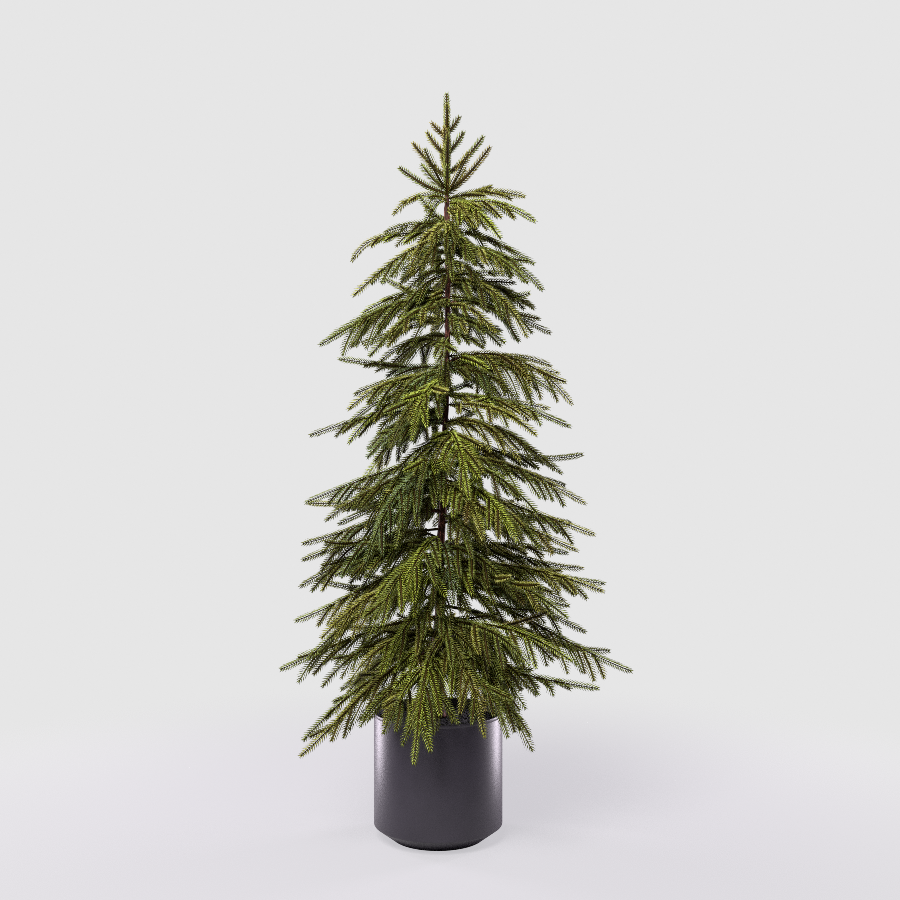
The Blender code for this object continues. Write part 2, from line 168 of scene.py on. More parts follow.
# Fronds between the limbs, read from the photograph: the same fields as a limb.
SPRIGS = tuple(Limb(*row) for row in (
    # right side
    ("upper_right_1", 1.285, 15, 0.165, 1.3, 20, -12, "olive", 0.7, 0.6),
    ("upper_right_2", 1.275, 318, 0.14, 1.19, 5, -50, "bright", 0.6),
    ("upper_right_3", 1.22, 10, 0.18, 1.16, 5, -28, "mid", 0.5),
    ("upper_right_4", 1.195, 40, 0.14, 1.18, 0, -15, "mid", 0.25),
    ("upper_right_5", 1.185, 322, 0.195, 1.1, 4, -42, "olive", 0.6),
    ("upper_right_6", 1.13, 350, 0.13, 1.13, 8, -8, "olive", 0.4),
    ("upper_right_7", 1.09, 10, 0.17, 1.1, -5, 20, "bright", 0.4),
    ("upper_right_8", 1.12, 12, 0.175, 1.075, 8, -30, "dark", 0.7),
    ("upper_right_9", 1.12, 328, 0.18, 1.0, 5, -62, "mid", 0.75),
    ("upper_right_10", 1.04, 330, 0.13, 0.99, 5, -40, "mid", 0.6),
    ("upper_right_11", 1.07, 320, 0.12, 1.01, 5, -50, "olive", 0.6),
    ("upper_right_12", 0.968, 10, 0.115, 0.965, 10, -8, "dark", 0.5),
    ("middle_right_1", 0.95, 18, 0.225, 0.955, 14, -20, "olive", 0.35, 0.5),
    ("middle_right_2", 0.95, 0, 0.225, 0.935, 10, -10, "olive", 0.3, 0.6),
    ("middle_right_3", 0.9, 25, 0.1, 0.925, 8, 0, "dark", 0.4),
    ("middle_right_4", 0.89, 352, 0.205, 0.862, -2, -10, "mid", 0.3),
    ("middle_right_5", 0.89, 336, 0.26, 0.825, -2, -24, "olive", 0.6),
    ("middle_right_6", 0.87, 316, 0.235, 0.808, 2, -36, "olive", 0.5),
    ("middle_right_7", 0.83, 345, 0.235, 0.735, 16, -38, "dark", 0.75),
    ("middle_right_8", 0.835, 325, 0.175, 0.76, 14, -52, "olive", 0.75),
    ("middle_right_9", 0.785, 18, 0.265, 0.705, -10, -14, "dark", 0.4, 0.6),
    ("middle_right_10", 0.765, 345, 0.285, 0.675, 2, -30, "mid", 0.8, 1.3),
    ("middle_right_11", 0.75, 322, 0.225, 0.66, 5, -45, "mid", 0.7),
    ("middle_right_12", 0.668, 22, 0.29, 0.625, -8, -8, "dark", 0.3, 0.6),
    ("lower_right_1", 0.68, 340, 0.275, 0.585, -8, -22, "olive", 0.8),
    ("lower_right_2", 0.585, 10, 0.295, 0.535, 4, -3, "mid", 0.75, 0.8),
    ("lower_right_3", 0.58, 14, 0.27, 0.565, 4, -14, "olive", 0.6),
    ("lower_right_4", 0.555, 344, 0.33, 0.505, 0, -20, "olive", 0.7),
    ("lower_right_5", 0.54, 335, 0.275, 0.48, -8, -6, "dark", 0.4),
    ("lower_right_6", 0.535, 320, 0.31, 0.47, 2, -32, "olive", 0.8),
    ("lower_right_7", 0.465, 12, 0.36, 0.36, -8, -2, "dark", 0.3, 0.5),
    ("lower_right_8", 0.395, 336, 0.335, 0.325, -24, -4, "dark", 0.5, 1.1),
    ("lower_right_9", 0.435, 308, 0.27, 0.385, 4, -36, "mid", 0.9, 1.3),
    ("lower_right_10", 0.395, 290, 0.255, 0.26, 4, -64, "olive", 0.8),
    ("lower_right_11", 0.365, 300, 0.26, 0.255, 0, -60, "mid", 0.8),
    ("lower_right_12", 0.43, 330, 0.29, 0.38, 6, -30, "olive", 0.9, 1.6),
    ("upper_right_13", 1.28, 345, 0.08, 1.255, 10, -30, "mid", 0.8),
    ("upper_right_14", 1.262, 310, 0.09, 1.215, 8, -45, "olive", 0.8),
    ("lower_right_13", 0.395, 325, 0.205, 0.285, 5, -55, "mid", 1.0, 1.2),
    ("lower_right_14", 0.44, 310, 0.185, 0.345, 5, -55, "dark"),
    ("lower_right_15", 0.4, 318, 0.185, 0.265, 0, -62, "mid", 1.0, 1.2),
    ("lower_right_16", 0.445, 335, 0.17, 0.365, -10, -50, "mid", 1.0, 1.2),
    ("upper_right_15", 1.275, 325, 0.095, 1.215, 0, -55, "olive", 0.9),
    ("upper_right_16", 1.262, 300, 0.055, 1.18, 0, -60, "mid", 0.8),
    ("upper_right_17", 1.015, 340, 0.075, 0.985, 0, -40, "mid", 0.8),
    ("lower_right_17", 0.415, 332, 0.215, 0.305, -5, -45, "olive", 0.9, 1.3),
    ("middle_right_13", 0.94, 335, 0.16, 0.865, 5, -60, "dark", 0.6, 1.2),
    ("lower_right_18", 0.395, 322, 0.2, 0.262, 0, -60, "mid", 0.9, 1.2),
    ("middle_right_14", 0.945, 350, 0.215, 0.895, 12, -40, "mid", 1.0, 2.2),
    ("lower_right_19", 0.58, 315, 0.2, 0.5, 8, -50, "mid", 0.75, 1.2),
    ("lower_right_20", 0.495, 350, 0.29, 0.42, 15, -25, "mid", 0.7),
    ("upper_right_18", 1.262, 330, 0.078, 1.2, -5, -50, "mid"),
    ("lower_right_21", 0.55, 352, 0.25, 0.48, 0, -25, "mid"),
    # left side
    ("upper_left_1", 1.285, 170, 0.11, 1.26, 32, -52, "olive", 0.6),
    ("upper_left_2", 1.235, 190, 0.125, 1.215, 2, -26, "mid", 0.7),
    ("upper_left_3", 1.213, 208, 0.205, 1.08, -18, -42, "olive", 0.65, 1.1),
    ("upper_left_4", 1.232, 200, 0.062, 1.29, 35, 50, "olive", 0.3),
    ("upper_left_5", 1.16, 196, 0.1, 1.11, 8, -50, "olive", 0.7),
    ("upper_left_6", 1.14, 205, 0.092, 1.095, 5, -50, "bluish", 0.7),
    ("upper_left_7", 1.07, 160, 0.135, 1.13, 14, 28, "olive", 0.4),
    ("upper_left_8", 1.08, 175, 0.24, 1.01, 8, -32, "mid", 0.7),
    ("upper_left_9", 1.07, 218, 0.19, 0.96, 0, -45, "mid", 0.5),
    ("upper_left_10", 1.04, 195, 0.175, 0.99, 0, -16, "olive", 0.7),
    ("upper_left_11", 0.99, 200, 0.14, 0.955, 28, -44, "dark", 0.5),
    ("middle_left_1", 0.95, 172, 0.22, 0.965, -6, 8, "dark", 0.5, 0.6),
    ("middle_left_2", 0.93, 190, 0.185, 0.89, 2, -26, "dark", 0.6),
    ("middle_left_3", 0.93, 206, 0.21, 0.86, -2, -42, "mid", 0.75),
    ("middle_left_4", 0.935, 232, 0.145, 0.86, -4, -55, "bluish", 0.5),
    ("middle_left_5", 0.935, 225, 0.155, 0.835, 5, -75, "dark", 0.4),
    ("middle_left_6", 0.905, 198, 0.2, 0.795, -6, -58, "olive", 0.5),
    ("middle_left_7", 0.845, 218, 0.19, 0.765, -8, -45, "bluish", 0.5),
    ("middle_left_8", 0.92, 252, 0.205, 0.8, -3, -65, "bright", 0.7),
    ("middle_left_9", 0.605, 200, 0.217, 0.535, -8, -26, "dark", 1.0, 1.2),
    ("middle_left_10", 0.685, 172, 0.28, 0.67, -8, 2, "olive", 0.5, 0.6),
    ("middle_left_11", 0.72, 198, 0.195, 0.665, -3, -38, "mid", 0.9, 1.4),
    ("middle_left_12", 0.745, 206, 0.25, 0.645, -8, -36, "dark", 0.7),
    ("lower_left_1", 0.62, 196, 0.28, 0.565, -4, -20, "dark", 1.0, 1.3),
    ("lower_left_2", 0.585, 182, 0.28, 0.505, 8, -32, "mid"),
    ("lower_left_3", 0.52, 165, 0.265, 0.51, -13, 16, "dark", 0.3, 0.6),
    ("lower_left_4", 0.515, 210, 0.26, 0.42, 10, -42, "olive", 1.1),
    ("lower_left_5", 0.405, 206, 0.245, 0.325, 10, -50, "mid", 0.6),
    ("lower_left_6", 0.41, 222, 0.225, 0.34, 6, -50, "olive", 0.7),
    ("lower_left_7", 0.355, 203, 0.28, 0.22, 2, -44, "mid", 0.4, 1.1),
    ("lower_left_8", 0.48, 200, 0.27, 0.375, 8, -45, "mid", 0.9),
    ("upper_left_12", 1.285, 205, 0.05, 1.235, 5, -50, "olive", 0.5),
    ("middle_left_13", 0.7, 200, 0.215, 0.635, -5, -25, "olive", 0.8, 1.3),
    ("middle_left_14", 0.8, 215, 0.12, 0.735, -5, -45, "mid", 1.0, 1.6),
    ("lower_left_9", 0.515, 212, 0.15, 0.45, 0, -45, "olive", 0.8),
    ("upper_left_13", 1.13, 212, 0.105, 1.06, 0, -45, "dark", 0.8, 1.2),
    ("middle_left_15", 0.905, 196, 0.195, 0.835, 0, -45, "dark", 0.4, 1.2),
    ("upper_left_14", 1.095, 185, 0.17, 1.055, 15, -30, "olive", 0.5),
    # in front
    ("front_upper_1", 1.235, 285, 0.07, 1.185, 5, -60, "mid"),
    ("front_upper_2", 1.23, 248, 0.085, 1.175, 5, -60, "olive"),
    ("front_upper_3", 1.21, 300, 0.1, 1.145, 8, -58, "dark"),
    ("front_upper_4", 1.195, 235, 0.085, 1.135, 5, -60, "dark"),
    ("front_upper_5", 1.155, 315, 0.095, 1.1, 5, -55, "mid", 0.8),
    ("front_upper_6", 1.0, 262, 0.09, 0.93, 5, -62, "mid", 0.8),
    ("front_upper_7", 0.905, 262, 0.08, 0.85, 5, -62, "mid", 0.6),
    ("front_upper_8", 1.225, 268, 0.075, 1.165, 5, -60, "dark", 0.7),
    ("front_upper_9", 1.18, 276, 0.085, 1.112, 5, -60, "mid", 0.7),
    ("front_upper_10", 0.955, 268, 0.085, 0.89, 5, -60, "dark", 0.7),
    ("front_upper_11", 0.83, 290, 0.08, 0.775, 5, -60, "mid", 0.7),
    ("front_upper_12", 1.08, 250, 0.06, 1.025, 5, -60, "dark", 0.8),
    ("front_upper_13", 1.05, 290, 0.065, 0.99, 5, -60, "mid", 0.8),
    ("centre_1", 0.79, 252, 0.15, 0.705, 10, -62, "bright", 0.8),
    ("centre_2", 0.78, 300, 0.14, 0.71, 8, -58, "bright", 0.8),
    ("centre_3", 0.75, 268, 0.11, 0.68, 5, -68, "olive", 0.8),
    ("centre_4", 0.755, 238, 0.17, 0.595, 5, -72, "bluish", 0.9),
    ("centre_5", 0.745, 226, 0.21, 0.57, 5, -66, "bluish", 0.9),
    ("centre_6", 0.7, 288, 0.24, 0.615, 12, -52, "olive", 0.8),
    ("centre_7", 0.705, 318, 0.21, 0.59, 8, -60, "mid", 0.9, 1.2),
    ("centre_8", 0.645, 292, 0.15, 0.575, 10, -60, "mid", 0.8),
    ("centre_10", 0.555, 264, 0.11, 0.48, 0, -60, "dark", 0.7),
    ("centre_9", 0.6, 250, 0.19, 0.5, 8, -58, "bright", 0.9),
    ("centre_11", 0.69, 236, 0.11, 0.61, 5, -55, "dark", 0.7),
    ("centre_12", 0.59, 282, 0.125, 0.485, 5, -62, "bluish", 0.8),
    ("lower_centre_1", 0.555, 254, 0.165, 0.465, -3, -60, "bright", 0.8),
    ("lower_centre_2", 0.475, 232, 0.17, 0.36, -3, -64, "bright", 0.9),
    ("lower_centre_3", 0.42, 248, 0.15, 0.34, 0, -62, "olive", 0.9),
    ("lower_centre_4", 0.445, 278, 0.18, 0.37, 2, -52, "mid"),
    ("lower_centre_5", 0.505, 258, 0.155, 0.42, -3, -58, "mid", 0.7),
    ("lower_centre_10", 0.5, 272, 0.12, 0.42, 5, -60, "dark"),
    ("lower_centre_11", 0.53, 300, 0.11, 0.455, 5, -60, "dark", 0.9, 1.2),
    ("lower_centre_6", 0.34, 228, 0.215, 0.26, 0, -42, "olive"),
    ("lower_centre_7", 0.33, 244, 0.225, 0.255, 6, -44, "mid"),
    ("lower_centre_9", 0.4, 285, 0.14, 0.31, 0, -60, "mid", 0.9),
    ("lower_centre_8", 0.37, 270, 0.2, 0.26, 4, -60, "mid"),
    # behind, over the pot's rim
    ("lower_back_1", 0.395, 52, 0.26, 0.26, 10, -50, "mid"),
    ("lower_back_2", 0.38, 84, 0.27, 0.25, 8, -52, "dark"),
    ("lower_back_3", 0.405, 112, 0.265, 0.27, 12, -50, "mid"),
    ("lower_back_4", 0.385, 133, 0.255, 0.255, 8, -52, "olive"),
))


class LeaderTip(NamedTuple):
    """One upturned tip of the leader."""
    root: float  # height where it leaves the leader
    azimuth: float
    reach: float
    tip: float


LEADER_BASE = 1.285
LEADER_TOP = 1.4985
LEADER_TIPS = tuple(LeaderTip(*row) for row in (
    (1.296, 180, 0.096, 1.349),
    (1.3, 355, 0.086, 1.388),
    (1.298, 65, 0.088, 1.365),
    (1.306, 128, 0.085, 1.372),
    (1.303, 238, 0.08, 1.368),
    (1.3, 300, 0.084, 1.362),
    (1.33, 184, 0.068, 1.397),
    (1.336, 5, 0.073, 1.413),
    (1.338, 100, 0.062, 1.402),
    (1.334, 272, 0.06, 1.398),
    (1.373, 176, 0.04, 1.421),
    (1.378, 0, 0.033, 1.42),
    (1.38, 88, 0.035, 1.424),
    (1.376, 262, 0.034, 1.42),
    (1.425, 272, 0.013, 1.472),
    (1.35, 268, 0.016, 1.405),
    (1.292, 272, 0.026, 1.348),
    (1.412, 180, 0.03, 1.439),
    (1.419, 3, 0.025, 1.452),
))

# --- bark

BARK_ENDS = (1.265, 1.32)  # heights between which the trunk's bark thins out
LEAST_BARK = (0.0056, 0.002)  # its least radius up to the first, and at the second
TRUNK_PITCH = 0.0032  # between rings
TRUNK_SIDES = 30
TRUNK_RIDGES = 3.2  # the trunk's radius in the noise of its ridges
BOUGH_RINGS = 22
BOUGH_SIDES = 14
BOUGH_RIDGES = 1.7
BOUGH_TAPER = (1.25, 1.4)  # thickness at the trunk, and its loss to the tip
BARK_OVERLAP = 0.05  # share of a bough with both bark and needles
RELIEF = 0.16  # share of the radius
CELLS_PER_METRE = 28  # of the noise, along a limb
FURROW_DEPTH = 0.9
FURROW_MIDDLE = 0.45
SCALE_DEPTH = 0.35
SCALE_FINENESS = 2.7  # against the furrows

# --- how fronds grow

HANDLE = 0.38  # Bezier handles of a limb, as a share of its span
BARE_HEIGHTS = (0.45, 0.8)  # shares of its length over which a limb is bare, rooted
BARE_SHARES = (0.14, 0.03)  # up to the first height or from the second on
LIMB_RADIUS_TO_TRUNK = 0.42
SPRIG_THICKNESS = 0.8  # against a limb's
SPINE_POINTS = 25
SPINE_TAPER = 0.8  # power
SPINE_TIP_RADIUS = 0.0009
FIRST_TWIG = 0.02  # share of the spine from its bare foot on
TERMINAL = 0.078  # length of the spine beyond its last side twigs
TERMINAL_TO_FROND = 0.36  # the same as a share of a small frond
TWIG_PITCH = 0.0185  # between twigs, which leave to either side in turn
TWIG_SCATTER = 0.25  # of its place, in pitches
TWIG_LENGTH = 0.110  # of the longest, a third of the way along a full-size frond
TWIG_TO_FROND = 0.52  # the longest twig as a share of a small frond
TWIG_LENGTHS = (0.84, 1.12)  # of one twig against its neighbours
SWELL_LEAST = 0.62  # twigs where the swell begins, against the longest
SWELL_START = 0.18  # the first twig's place in the swell's half wave
SWELL_RATE = 0.9  # and how far it is from there to the last one's
TWIG_LEAVES = (46, 28)  # degrees from the spine, at the frond's foot and its tip
LEAVES_SPREAD = 15
TWIG_FORWARD = 0.34  # how far a twig bends back towards the spine's direction
TWIG_DROOP = 0.75
TWIG_DROOPS = (0.45, 1.45)  # of one twig against that
TWIG_FIRST_DROOP = 0.25  # share of its droop at the spine
LIFTED_TWIGS = 0.08  # share of twigs that rise
LIFT = -0.35  # their droop against the others'
TWIG_SWAY = 0.3
TWIG_STEPS = 5
TWIG_SIDES = 4
TWIG_RADIUS = 0.0025
TWIG_TAPER = 0.55  # its radius at the tip, as a share
TWIG_BARE = 0.03  # share of its length without needles
ROLL_TO_FRONT = 3  # degrees by which side fronds show their upper face to -Y
ROLL_SPREAD = 9

LEADER_POINTS = 16
TIP_POINTS = 8
TIP_HANDLE = 0.35  # as a share of its span
TIP_BEND = (-14, 8)  # degrees above its chord, at its foot and its tip
TIP_TAPER = (1.5, 0.6)  # radii there, against a twig's
TIP_BARE = 0.05
TIP_TONES = ("mid", "olive", "dark", "bronze")


class Filling(NamedTuple):
    """Fronds that fill in where the photograph doesn't show single ones."""
    heights: tuple
    pitch: float  # from one to the next
    turn: float  # degrees about the trunk, from one to the next
    scatter: float
    azimuths: tuple  # between which they stay
    share: tuple  # of the crown's radius at their height


FILLINGS = (
    Filling((0.35, 0.86), 0.056, 137.5, 15, (0, 360), (0.4, 0.62)),  # inside, all round
    Filling((0.36, 1.255), 0.034, 51, 12, (28, 152), (0.8, 1.0)),  # at the back
)
FILLING_DROP = (0.12, 0.42)  # of the reach
FILLING_RISE = 22
FILLING_FALL = -34
FILLING_TONES = ("mid", "dark", "olive", "bluish", "mid")
# The crown's radius at some heights, and heights where sky shows beside the trunk.
CROWN = ((0.3, 0.25), (0.45, 0.32), (0.7, 0.29), (0.9, 0.25), (1.1, 0.21), (1.27, 0.15))
OPEN_HEIGHTS = ((0.45, 0.48), (0.69, 0.71), (0.76, 0.78), (0.86, 0.98), (1.06, 1.08))

# --- needles

WHORL_PITCH = 0.0051
WHORL_ANGLES = (45, 135, 225, 315)  # of its needles about the twig, from level
TURN_SPREAD = 0.1  # radians, from one twig to another
ANGLE_SPREAD = 0.05  # radians, from one whorl to another
NEEDLE_LENGTH = 0.0135
LENGTH_SPREAD = 0.04
NEEDLE_RADIUS = 0.00128
NEEDLE_SINK = 0.5  # its foot's place in the stem, in stem radii
NEEDLE_SPLAY = (60, 49)  # degrees from the twig at the needle's foot and its tip
SPLAY_SPREAD = 0.03
NEEDLE_BELLY = 0.32  # share of the needle's length where it is thickest
BELLY_WIDE = 0.866  # places of its two lower corners there, in radii
BELLY_DEEP = 0.5
# A needle's five corners are its foot, three round its belly, and its tip.
NEEDLE_CORNERS = 5
NEEDLE_FACES = np.array(((0, 2, 1), (0, 3, 2), (0, 1, 3), (4, 1, 2), (4, 2, 3), (4, 3, 1)))
TWIG_END = 0.016  # length over which needles change towards a stem's ends
FIRST_NEEDLES = 0.70  # length of the first and last needles, as shares
LAST_NEEDLES = 0.62
LAST_SPLAY = 0.42  # and splay of the last
MOST_TRIANGLES = 198_000  # in one piece


# --- surfaces

class Noise(NamedTuple):
    """A noise texture in object space, with its scale per metre."""
    scale: float
    detail: float = 3.0
    roughness: float = 0.5
    stretch: tuple = (1, 1, 1)


class Surface(NamedTuple):
    """Colours at places of a noise, gloss, and the noise of a grain if there is one."""
    stops: tuple
    patches: Noise
    roughness: float
    specular: float = 0.5
    grain: Noise | None = None
    bump_strength: float = 0.0
    bump_distance: float = 0.0


# Dark brown matt plastic of the spines and twigs.
TWIG_SURFACE = Surface(
    stops=((0.35, (0.012, 0.008, 0.001)), (0.65, (0.036, 0.022, 0.004))),
    patches=Noise(35), roughness=0.6, specular=0.05,
)
# Reddish brown moulded bark, paler and pinker in lengthwise streaks: partly its own colour,
# partly painted highlight.
BARK_SURFACE = Surface(
    stops=((0.46, (0.024, 0.009, 0.006)), (0.58, (0.09, 0.03, 0.02)),
           (0.71, (0.38, 0.15, 0.12))),
    patches=Noise(300, 3.0, 0.6, (1, 1, 0.25)), roughness=0.62, specular=0.1,
    grain=Noise(260, 4.0, 0.6, (1, 1, 0.3)), bump_strength=0.5, bump_distance=0.0008,
)
# Satin dark plastic with a fine sanded grain.
POT_SURFACE = Surface(
    stops=((0.35, (0.016, 0.0134, 0.02)), (0.65, (0.02, 0.0168, 0.025))),
    patches=Noise(14, 4.0), roughness=0.4,
    grain=Noise(1400, 3.0, 0.6), bump_strength=0.02, bump_distance=0.0002,
)
GRIT_SURFACE = Surface(
    stops=((0.35, (0.012, 0.011, 0.014)), (0.7, (0.05, 0.047, 0.054))),
    patches=Noise(260), roughness=0.85,
)

# Tones dealt out to the spine and twigs of a frond of each tone.
TONE_MIX = {
    "dark": (("dark", 0.6), ("mid", 0.26), ("bluish", 0.14)),
    "mid": (("mid", 0.54), ("dark", 0.26), ("olive", 0.2)),
    "olive": (("olive", 0.54), ("mid", 0.26), ("bright", 0.14), ("bronze", 0.06)),
    "bright": (("bright", 0.68), ("olive", 0.14), ("mid", 0.18)),
    "bluish": (("bluish", 0.6), ("mid", 0.26), ("dark", 0.14)),
}
TONE_COLOURS = {
    "dark": (0.086, 0.092, 0.014),
    "mid": (0.117, 0.138, 0.02),
    "olive": (0.18, 0.179, 0.028),
    "bright": (0.199, 0.236, 0.025),
    "bluish": (0.098, 0.13, 0.03),
    "bronze": (0.16, 0.136, 0.026),
}
# The darkest needles carry painted shade, darker and browner than their tone, and the lightest
# carry a painted highlight, whitened with extra blue.
DARKEST_AS_PAINTED_SHADE = (0.32, 0.28, 0.06)  # shares of a tone's red, green and blue where it is darkest
LIGHTEST_AS_PAINTED_HIGHLIGHT = (1.8, 1.8, 4.5)  # and where it is lightest
TONE_PLACES = (0.32, 0.5, 0.68)  # of the darkest, the tone itself and the lightest


# --- studio

class AreaLight(NamedTuple):
    """A soft rectangular lamp and where it points."""
    name: str
    place: tuple
    target: tuple
    width: float
    height: float
    power: float
    colour: tuple


LIGHTS = (
    AreaLight("key", (-0.8, -1.9, 2.7), (0, 0, 0.8), 1.4, 1.4, 238, (1.0, 0.98, 0.96)),
    AreaLight("left", (-1.6, 0.95, 0.7), (0, 0, 0.5), 0.5, 1.8, 55, (1.0, 0.91, 1.03)),
    AreaLight("right", (1.6, 0.95, 0.7), (0, 0, 0.5), 0.5, 1.8, 58, (1.0, 0.91, 1.03)),
)
CAMERA_PLACE = (0.0238, -2.36, 0.779)
CAMERA_TILT = 90  # degrees from straight down, so it looks level
CAMERA_LENS = 46.72
SENSOR = 36
PIXEL_FILTER = 0.8  # width in pixels, narrow for crisp needles
BACKGROUND = (0.791, 0.791, 0.791)
AMBIENT = (0.14, 0.14, 0.14)  # what lights the tree from all round
MIRRORED = (0.36, 0.32, 0.39)  # what reflections see of the studio
FLOOR_COLOUR = (0.35, 0.343, 0.36)
FLOOR_GLOW = (0.722, 0.712, 0.746)
FLOOR_GLOW_SHARE = 0.74  # of what the camera sees of the floor
FLOOR_RADIUS = 2.4
FLOOR_SIDES = 96
FLOOR_FADES = (0.45, 1.6)  # distances between which the floor fades out


# --- lines in space

def heading(azimuth):
    """The level direction with that azimuth."""
    angle = math.radians(azimuth)
    return np.array((math.cos(angle), math.sin(angle), 0.0))


def unit(vectors):
    return vectors / np.maximum(np.linalg.norm(vectors, axis=-1, keepdims=True), SMALLEST)


def sloping(azimuth, slope):
    """The direction with that azimuth and that many degrees above level."""
    angle = math.radians(slope)
    return math.cos(angle) * heading(azimuth) + math.sin(angle) * UP


def eased(least, share):
    """From the least up to 1, as the share goes from 0 to 1."""
    return least + (1 - least) * share


def trunk_at(height):
    """The trunk's axis and radius at a height."""
    heights, leans, radii = zip(*TRUNK)
    axis = np.array((np.interp(height, heights, leans), 0.0, height))
    return axis, np.interp(height, heights, radii)


def trunk_along(heights):
    """The trunk's axis and radii at several heights."""
    axis, radii = zip(*map(trunk_at, heights))
    return np.array(axis), np.array(radii)


def bezier(controls, t):
    """Points of a Bezier curve at the shares t."""
    t = np.atleast_1d(t)[:, None]
    s = 1 - t
    first, second, third, fourth = controls
    return s**3 * first + 3 * s * s * t * second + 3 * s * t * t * third + t**3 * fourth


def bezier_tangent(controls, t):
    return unit(bezier(controls, t + TANGENT_STEP) - bezier(controls, t - TANGENT_STEP))


def span_controls(limb, handle_share, slopes):
    """Bezier controls from the trunk's axis to a tip, with the slopes at either end."""
    start, _ = trunk_at(limb.root)
    end = start + limb.reach * heading(limb.azimuth) + (limb.tip - limb.root) * UP
    handle = handle_share * math.hypot(limb.reach, limb.tip - limb.root)
    return (start, start + handle * sloping(limb.azimuth, slopes[0]),
            end - handle * sloping(limb.azimuth, slopes[1]), end)


def limb_controls(limb):
    """The Bezier controls of a limb, the same as the CAD model's."""
    return span_controls(limb, HANDLE, (limb.rise, limb.fall))


def run_along(points):
    """How far along a line each of its points lies."""
    return np.concatenate(((0.0,), np.cumsum(np.linalg.norm(np.diff(points, axis=0), axis=1))))


def length_of(points):
    return float(np.linalg.norm(np.diff(points, axis=0), axis=1).sum())


def frames_along(points):
    """Tangents and two cross directions at each point of a line."""
    tangents = unit(np.gradient(points, axis=0))
    reference = np.cross(tangents[0], UP)
    if np.linalg.norm(reference) < NEARLY_UPRIGHT:
        reference = ACROSS
    across = unit(reference - tangents * (tangents @ reference)[:, None])
    return tangents, across, np.cross(tangents, across)


# --- fronds

class Stem(NamedTuple):
    """A line that carries needles from a share of its length on."""
    points: np.ndarray
    radii: np.ndarray
    bare: float
    tone: str


def deal_tone(tone, rng):
    """The tone of one stem in a frond of a tone."""
    tones, weights = zip(*TONE_MIX[tone])
    return rng.choices(tones, weights)[0]


def side_twig(base, along, side, size, leaves, hang, tone, rng):
    """A twig that leaves the spine sideways, bends forward and droops."""
    angle = math.radians(leaves + rng.uniform(-LEAVES_SPREAD, LEAVES_SPREAD))
    droop = TWIG_DROOP * hang * rng.uniform(*TWIG_DROOPS)
    if rng.random() < LIFTED_TWIGS:
        droop = LIFT * droop
    direction = math.cos(angle) * along + math.sin(angle) * side - TWIG_FIRST_DROOP * droop * UP
    sway = rng.uniform(-TWIG_SWAY, TWIG_SWAY)
    pull = (TWIG_FORWARD * along - droop * UP + sway * side) / TWIG_STEPS
    points = [base]
    for _ in range(TWIG_STEPS):
        direction = unit(direction + pull)
        points.append(points[-1] + size / TWIG_STEPS * direction)
    radii = np.linspace(TWIG_RADIUS, TWIG_TAPER * TWIG_RADIUS, TWIG_STEPS + 1)
    return Stem(np.array(points), radii, TWIG_BARE, deal_tone(tone, rng))


def directions_at(controls, share, roll):
    """The spine's direction at a share of it, and the one to its side in a rolled frond."""
    along = bezier_tangent(controls, share)[0]
    level = unit(np.cross(UP, along))
    above = np.cross(along, level)
    return along, math.cos(roll) * level + math.sin(roll) * above


def roll_of(limb, rng):
    """How far a frond is rolled about its spine, in radians."""
    degrees = ROLL_TO_FRONT * math.cos(math.radians(limb.azimuth))
    return math.radians(degrees + rng.uniform(-ROLL_SPREAD, ROLL_SPREAD))


def grow_frond(limb, root_radius, rng):
    """The spine of a frond and its side twigs."""
    controls = limb_controls(limb)
    bare = bare_share(limb)
    shares = np.linspace(0, 1, SPINE_POINTS)
    spine = bezier(controls, shares)
    length = length_of(spine)
    radii = np.maximum(root_radius * (1 - shares) ** SPINE_TAPER, SPINE_TIP_RADIUS)
    stems = [Stem(spine, radii, bare, deal_tone(limb.tone, rng))]
    roll = roll_of(limb, rng)
    longest = limb.size * min(TWIG_LENGTH, TWIG_TO_FROND * length)
    first = bare + FIRST_TWIG
    last = 1 - min(TERMINAL / length, TERMINAL_TO_FROND)
    count = max(2, round((last - first) * length / TWIG_PITCH))
    for i in range(count):
        step = i + rng.uniform(-TWIG_SCATTER, TWIG_SCATTER)
        share = first + (last - first) * step / (count - 1)
        share = min(max(share, first), last)
        along, side = directions_at(controls, share, roll)
        if i % 2:
            side = -side
        done = (share - first) / (last - first)
        swell = math.sin(math.pi * min(1.0, SWELL_START + SWELL_RATE * done))
        size = longest * eased(SWELL_LEAST, swell) * rng.uniform(*TWIG_LENGTHS)
        leaves = TWIG_LEAVES[0] + (TWIG_LEAVES[1] - TWIG_LEAVES[0]) * done
        base = bezier(controls, share)[0]
        stems.append(side_twig(base, along, side, size, leaves, limb.hang, limb.tone, rng))
    return stems


def bare_share(limb):
    """The share of a limb's length at the trunk that carries nothing."""
    return float(np.interp(limb.root, BARE_HEIGHTS, BARE_SHARES))


def grow_limb(limb, thickness, rng):
    """A frond with a spine as thick as its place on the trunk allows."""
    _, trunk_radius = trunk_at(limb.root)
    radius = thickness * LIMB_RADIUS_TO_TRUNK * trunk_radius
    return grow_frond(limb, radius, rng)


def filling_frond(height, azimuth, share, rng):
    """A frond of the filling, sized to the crown's radius at its height."""
    reach = np.interp(height, *zip(*CROWN)) * rng.uniform(*share)
    tip = height - reach * rng.uniform(*FILLING_DROP)
    tone = rng.choice(FILLING_TONES)
    name = f"filling at {height:.3f}"
    return Limb(name, height, azimuth, reach, tip, FILLING_RISE, FILLING_FALL, tone)


def is_open(height):
    """Whether the photograph shows sky beside the trunk at that height."""
    return any(low < height < high for low, high in OPEN_HEIGHTS)


